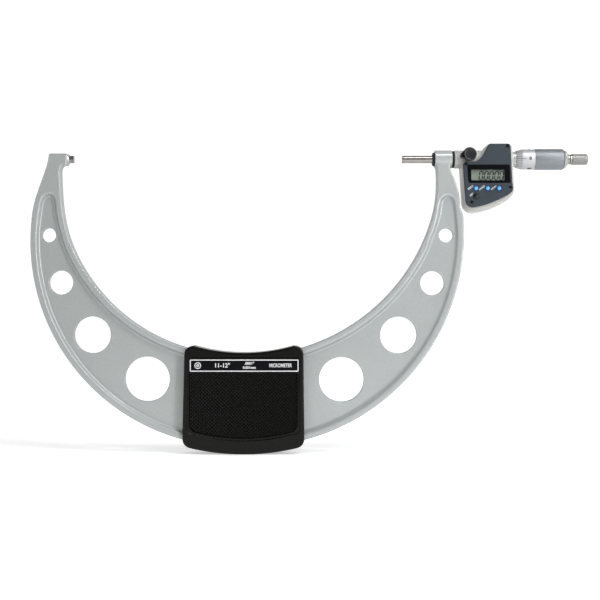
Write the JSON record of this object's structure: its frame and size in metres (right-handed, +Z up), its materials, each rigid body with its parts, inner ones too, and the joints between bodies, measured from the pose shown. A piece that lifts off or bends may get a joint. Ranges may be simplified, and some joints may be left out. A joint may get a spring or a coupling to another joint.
{
  "type": "outside micrometer",
  "caption": "Large digital outside micrometer: a deep bow frame with lightening holes, a heat grip, a display head, a thimble and a ratchet.",
  "frame": {"origin": "centre of the anvil's flat measuring face, the zero of every measurement", "axes": "+X from the anvil to the thimble along the spindle axis, +Z up towards the open side of the bow with the grip at the bottom, -Y the front with the display"},
  "size_m": [0.4732, 0.0253, 0.2622],
  "materials": {
    "enamel": "fine hammered grey enamel on a cast frame",
    "steel": "ground and polished hardened steel",
    "black_steel": "black oxide",
    "carbide": "lapped carbide",
    "satin_chrome": "satin chrome plate",
    "grip_plastic": "black moulded heat-insulating plastic",
    "label": "black printed label",
    "housing_plastic": "light warm grey moulding",
    "cover_plastic": "dark blue-grey moulding",
    "bezel_plastic": "gloss black",
    "blue_plastic": "blue push button",
    "window": "clear display window",
    "lcd": "grey-green liquid crystal panel",
    "board": "green circuit board",
    "rubber": "black seal rubber",
    "brass": "machined brass"
  },
  "bodies": {
    "body": {"frame": "enamel", "anvil": "steel", "anvil_tip": "carbide", "front_grip": "grip_plastic", "rear_grip": "grip_plastic", "grip_screw_1": "steel", "grip_screw_2": "steel", "grip_screw_3": "steel", "grip_screw_4": "steel", "label_plate": "label", "head_housing": "housing_plastic", "front_cover": "cover_plastic", "cover_screw_1": "black_steel", "cover_screw_2": "black_steel", "cover_screw_3": "black_steel", "cover_screw_4": "black_steel", "display_bezel": "bezel_plastic", "display_window": "window", "lcd_panel": "lcd", "circuit_board": "board", "coin_cell": "steel", "battery_cap": "cover_plastic", "battery_seal": "rubber", "port_cover": "grip_plastic", "port_screw_1": "steel", "port_screw_2": "steel", "spindle_wiper": "rubber", "neck_seal": "rubber", "front_sleeve": "steel", "clamp_shoe": "brass", "encoder_stator": "board", "rear_sleeve": "steel", "graduated_sleeve": "satin_chrome", "adjusting_nut": "steel"},
    "encoder": {"encoder_rotor": "brass"},
    "spindle": {"spindle": "steel", "spindle_tip": "carbide", "thimble": "satin_chrome", "thimble_end_ring": "steel", "ratchet_base": "steel", "ratchet_screw": "steel"},
    "ratchet": {"ratchet_cap": "satin_chrome", "ratchet_pawl": "steel", "ratchet_spring": "steel"},
    "clamp": {"clamp_lever": "cover_plastic"},
    "button_left": {"button_left": "blue_plastic"},
    "button_middle": {"button_middle": "blue_plastic"},
    "button_right": {"button_right": "blue_plastic"},
    "button_lower": {"button_lower": "bezel_plastic"}
  },
  "joints": [
    {"name": "thimble_turn", "type": "hinge", "parent": "body", "child": "encoder", "pos_m": [0.356, 0, 0], "axis": [1, 0, 0], "range_deg": [0, 14400]},
    {"name": "spindle_feed", "type": "slide", "parent": "encoder", "child": "spindle", "axis": [1, 0, 0], "range_m": [0, 0.0254]},
    {"name": "ratchet_turn", "type": "hinge", "parent": "spindle", "child": "ratchet", "pos_m": [0.43, 0, 0], "axis": [1, 0, 0], "continuous": true},
    {"name": "clamp_turn", "type": "hinge", "parent": "body", "child": "clamp", "pos_m": [0.3354, -0.0122, 0.0031], "axis": [0, 1, 0], "range_deg": [0, 60]},
    {"name": "press_left", "type": "slide", "parent": "body", "child": "button_left", "axis": [0, 1, 0], "range_m": [0, 0.0006], "stiffness_N_per_m": 1000},
    {"name": "press_middle", "type": "slide", "parent": "body", "child": "button_middle", "axis": [0, 1, 0], "range_m": [0, 0.0006], "stiffness_N_per_m": 1000},
    {"name": "press_right", "type": "slide", "parent": "body", "child": "button_right", "axis": [0, 1, 0], "range_m": [0, 0.0006], "stiffness_N_per_m": 1000},
    {"name": "press_lower", "type": "slide", "parent": "body", "child": "button_lower", "axis": [0, 1, 0], "range_m": [0, 0.0006], "stiffness_N_per_m": 1000}
  ],
  "couplings": [
    {"joint": "thimble_turn", "follows": "spindle_feed", "rad_per_m": 9894.8}
  ]
}
